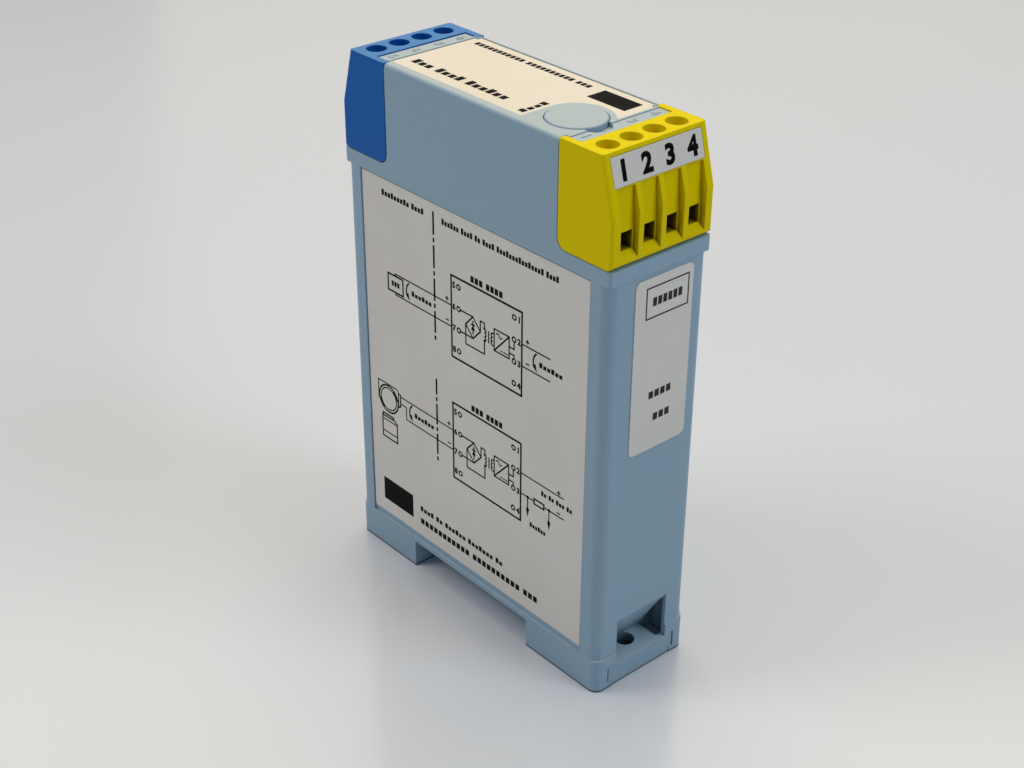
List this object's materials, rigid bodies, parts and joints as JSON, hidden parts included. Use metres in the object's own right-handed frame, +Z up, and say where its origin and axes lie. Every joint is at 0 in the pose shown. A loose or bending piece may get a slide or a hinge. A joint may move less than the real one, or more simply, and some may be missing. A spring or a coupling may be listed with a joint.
{
  "type": "signal isolator",
  "caption": "Slim upright rail-mounted signal isolator with a sprung rail latch, a yellow and a blue screw terminal block at its upper ends, a round fuse cap and plain labels.",
  "frame": {"origin": "middle of the module's base, on the plane it stands on", "axes": "+Z up, +X towards the yellow terminal block, the rail runs along Y"},
  "size_m": [0.0766, 0.025, 0.114],
  "materials": {
    "case_plastic": "fine matt",
    "yellow_plastic": "satin",
    "blue_plastic": "satin",
    "label_white": "matt",
    "top_label_cream": "matt",
    "tag_white": "satin",
    "screw_steel": "plated",
    "spring_steel": "drawn",
    "contact_brass": "plated",
    "board_laminate": "satin",
    "ferrite": "matt",
    "winding": "taped",
    "capacitor_sleeve": "gloss",
    "black_plastic": "matt",
    "fuse_body": "gloss"
  },
  "bodies": {
    "case": {"case_tub": "case_plastic", "top_cover": "case_plastic", "yellow_terminal_block": "yellow_plastic", "blue_terminal_block": "blue_plastic", "yellow_contacts": "contact_brass", "blue_contacts": "contact_brass", "latch_spring": "spring_steel", "fuse": "fuse_body", "fuse_socket": "black_plastic", "connection_board": "board_laminate", "main_board": "board_laminate", "transformer_core": "ferrite", "transformer_winding": "winding", "capacitors": "capacitor_sleeve", "chips": "black_plastic", "side_label": "label_white", "end_label": "label_white", "top_label": "top_label_cream", "tag_plate": "tag_white"},
    "latch": {"rail_latch": "case_plastic"},
    "fuse_cap": {"fuse_cap": "case_plastic"},
    "yellow_screw_1": {"yellow_screw_1": "screw_steel"},
    "yellow_cage_1": {"yellow_cage_1": "contact_brass"},
    "yellow_screw_2": {"yellow_screw_2": "screw_steel"},
    "yellow_cage_2": {"yellow_cage_2": "contact_brass"},
    "yellow_screw_3": {"yellow_screw_3": "screw_steel"},
    "yellow_cage_3": {"yellow_cage_3": "contact_brass"},
    "yellow_screw_4": {"yellow_screw_4": "screw_steel"},
    "yellow_cage_4": {"yellow_cage_4": "contact_brass"},
    "blue_screw_1": {"blue_screw_1": "screw_steel"},
    "blue_cage_1": {"blue_cage_1": "contact_brass"},
    "blue_screw_2": {"blue_screw_2": "screw_steel"},
    "blue_cage_2": {"blue_cage_2": "contact_brass"},
    "blue_screw_3": {"blue_screw_3": "screw_steel"},
    "blue_cage_3": {"blue_cage_3": "contact_brass"},
    "blue_screw_4": {"blue_screw_4": "screw_steel"},
    "blue_cage_4": {"blue_cage_4": "contact_brass"}
  },
  "joints": [
    {"name": "latch_pull", "type": "slide", "parent": "case", "child": "latch", "axis": [1, 0, 0], "range_m": [0, 0.004], "stiffness_N_per_m": 1500, "springref_m": -0.003, "deforming": ["latch_spring"]},
    {"name": "fuse_cap_lift", "type": "slide", "parent": "case", "child": "fuse_cap", "axis": [0, 0, 1], "range_m": [0, 0.012]},
    {"name": "yellow_screw_1_turn", "type": "hinge", "parent": "case", "child": "yellow_screw_1", "pos_m": [0.0321, -0.00833, 0.1], "axis": [0, 0, -1], "range_deg": [0, 2160]},
    {"name": "yellow_cage_1_lift", "type": "slide", "parent": "case", "child": "yellow_cage_1", "axis": [0, 0, 1], "range_m": [0, 0.0027]},
    {"name": "yellow_screw_2_turn", "type": "hinge", "parent": "case", "child": "yellow_screw_2", "pos_m": [0.0321, -0.00278, 0.1], "axis": [0, 0, -1], "range_deg": [0, 2160]},
    {"name": "yellow_cage_2_lift", "type": "slide", "parent": "case", "child": "yellow_cage_2", "axis": [0, 0, 1], "range_m": [0, 0.0027]},
    {"name": "yellow_screw_3_turn", "type": "hinge", "parent": "case", "child": "yellow_screw_3", "pos_m": [0.0321, 0.00278, 0.1], "axis": [0, 0, -1], "range_deg": [0, 2160]},
    {"name": "yellow_cage_3_lift", "type": "slide", "parent": "case", "child": "yellow_cage_3", "axis": [0, 0, 1], "range_m": [0, 0.0027]},
    {"name": "yellow_screw_4_turn", "type": "hinge", "parent": "case", "child": "yellow_screw_4", "pos_m": [0.0321, 0.00833, 0.1], "axis": [0, 0, -1], "range_deg": [0, 2160]},
    {"name": "yellow_cage_4_lift", "type": "slide", "parent": "case", "child": "yellow_cage_4", "axis": [0, 0, 1], "range_m": [0, 0.0027]},
    {"name": "blue_screw_1_turn", "type": "hinge", "parent": "case", "child": "blue_screw_1", "pos_m": [-0.0321, -0.00833, 0.1], "axis": [0, 0, -1], "range_deg": [0, 2160]},
    {"name": "blue_cage_1_lift", "type": "slide", "parent": "case", "child": "blue_cage_1", "axis": [0, 0, 1], "range_m": [0, 0.0027]},
    {"name": "blue_screw_2_turn", "type": "hinge", "parent": "case", "child": "blue_screw_2", "pos_m": [-0.0321, -0.00278, 0.1], "axis": [0, 0, -1], "range_deg": [0, 2160]},
    {"name": "blue_cage_2_lift", "type": "slide", "parent": "case", "child": "blue_cage_2", "axis": [0, 0, 1], "range_m": [0, 0.0027]},
    {"name": "blue_screw_3_turn", "type": "hinge", "parent": "case", "child": "blue_screw_3", "pos_m": [-0.0321, 0.00278, 0.1], "axis": [0, 0, -1], "range_deg": [0, 2160]},
    {"name": "blue_cage_3_lift", "type": "slide", "parent": "case", "child": "blue_cage_3", "axis": [0, 0, 1], "range_m": [0, 0.0027]},
    {"name": "blue_screw_4_turn", "type": "hinge", "parent": "case", "child": "blue_screw_4", "pos_m": [-0.0321, 0.00833, 0.1], "axis": [0, 0, -1], "range_deg": [0, 2160]},
    {"name": "blue_cage_4_lift", "type": "slide", "parent": "case", "child": "blue_cage_4", "axis": [0, 0, 1], "range_m": [0, 0.0027]}
  ],
  "couplings": [
    {"joint": "yellow_screw_1_turn", "follows": "yellow_cage_1_lift", "rad_per_m": 13963},
    {"joint": "yellow_screw_2_turn", "follows": "yellow_cage_2_lift", "rad_per_m": 13963},
    {"joint": "yellow_screw_3_turn", "follows": "yellow_cage_3_lift", "rad_per_m": 13963},
    {"joint": "yellow_screw_4_turn", "follows": "yellow_cage_4_lift", "rad_per_m": 13963},
    {"joint": "blue_screw_1_turn", "follows": "blue_cage_1_lift", "rad_per_m": 13963},
    {"joint": "blue_screw_2_turn", "follows": "blue_cage_2_lift", "rad_per_m": 13963},
    {"joint": "blue_screw_3_turn", "follows": "blue_cage_3_lift", "rad_per_m": 13963},
    {"joint": "blue_screw_4_turn", "follows": "blue_cage_4_lift", "rad_per_m": 13963}
  ]
}
